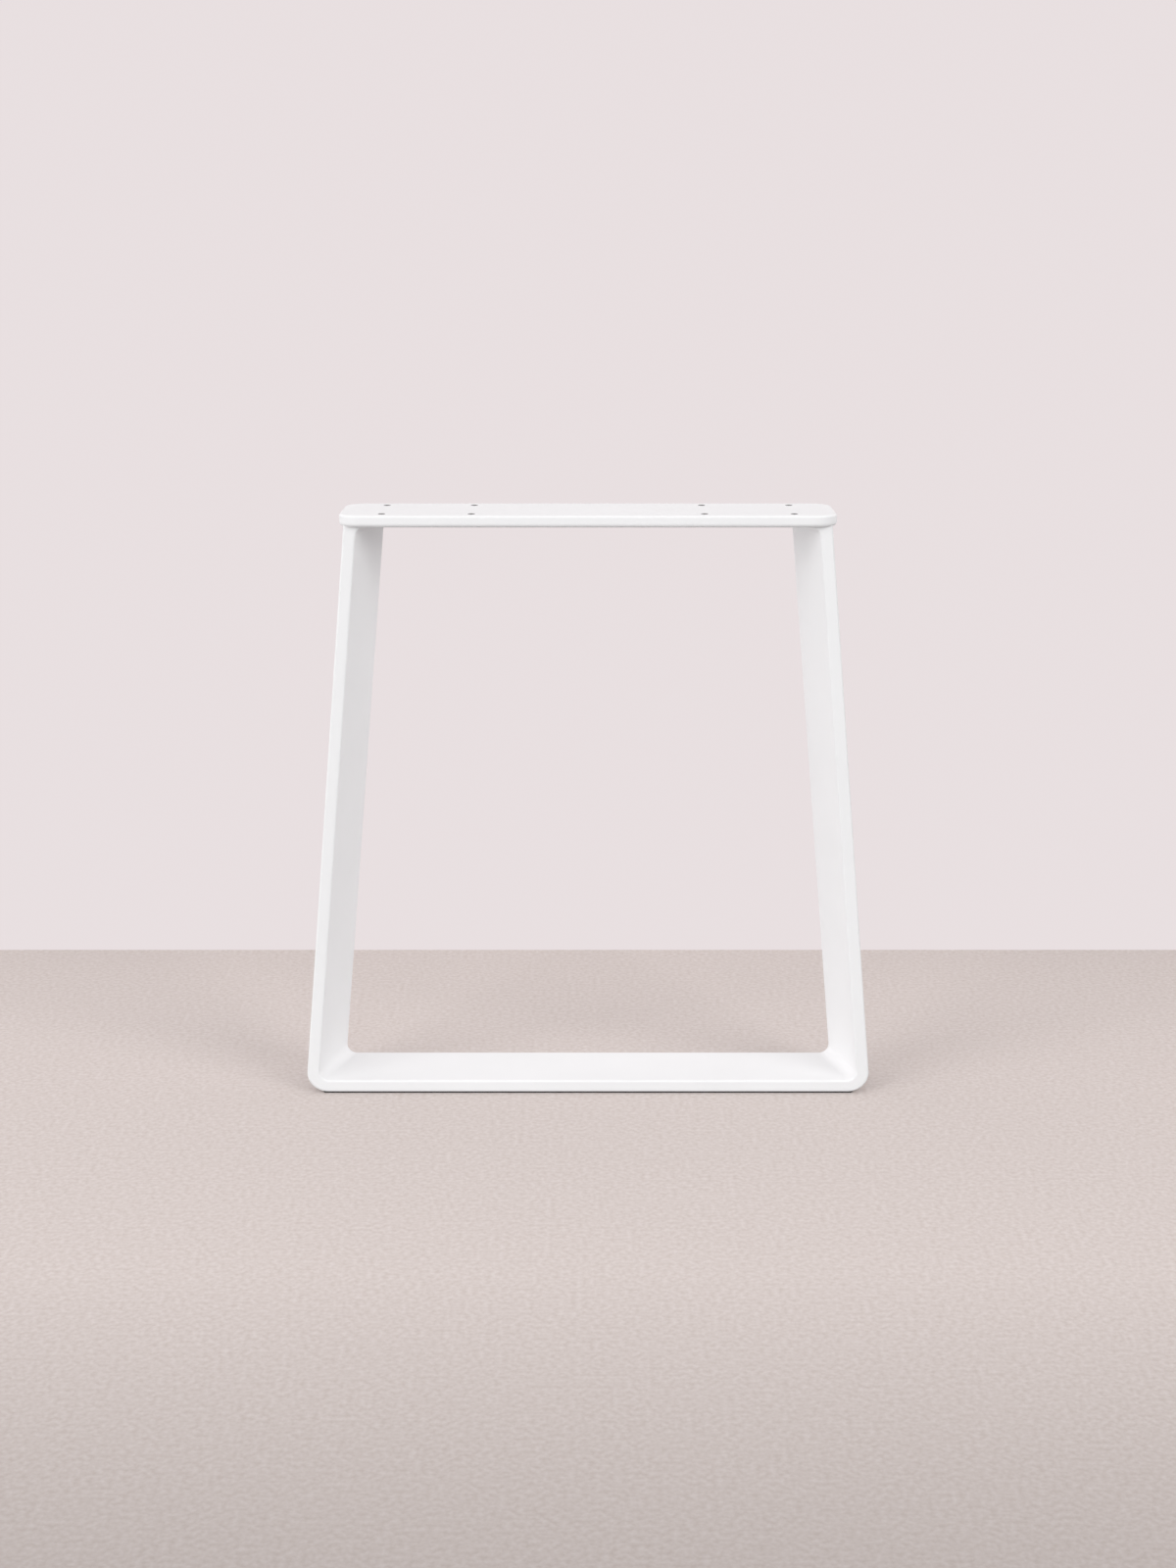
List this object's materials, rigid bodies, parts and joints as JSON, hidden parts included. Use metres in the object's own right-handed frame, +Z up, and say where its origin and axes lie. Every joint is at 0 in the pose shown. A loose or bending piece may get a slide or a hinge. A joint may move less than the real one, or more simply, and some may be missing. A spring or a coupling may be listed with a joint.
{
  "type": "trestle table leg",
  "caption": "Trapezoid table leg: a white flat bar bent to a U, with toed-in legs, closed by a drilled top plate and standing on a black strip. It carries one end of a table top.",
  "frame": {"origin": "on the floor, under the middle of the leg", "axes": "+Z up; X along the leg's width, across the table; Y from the front face to the back face"},
  "size_m": [0.6958, 0.116, 0.72],
  "materials": {
    "powder_coat": "white powder coat, satin, very fine grain",
    "foot_rubber": "matt black rubber"
  },
  "bodies": {
    "root": {"bent_bar": "powder_coat", "top_plate": "powder_coat", "left_weld": "powder_coat", "right_weld": "powder_coat", "foot_strip": "foot_rubber"}
  },
  "joints": []
}
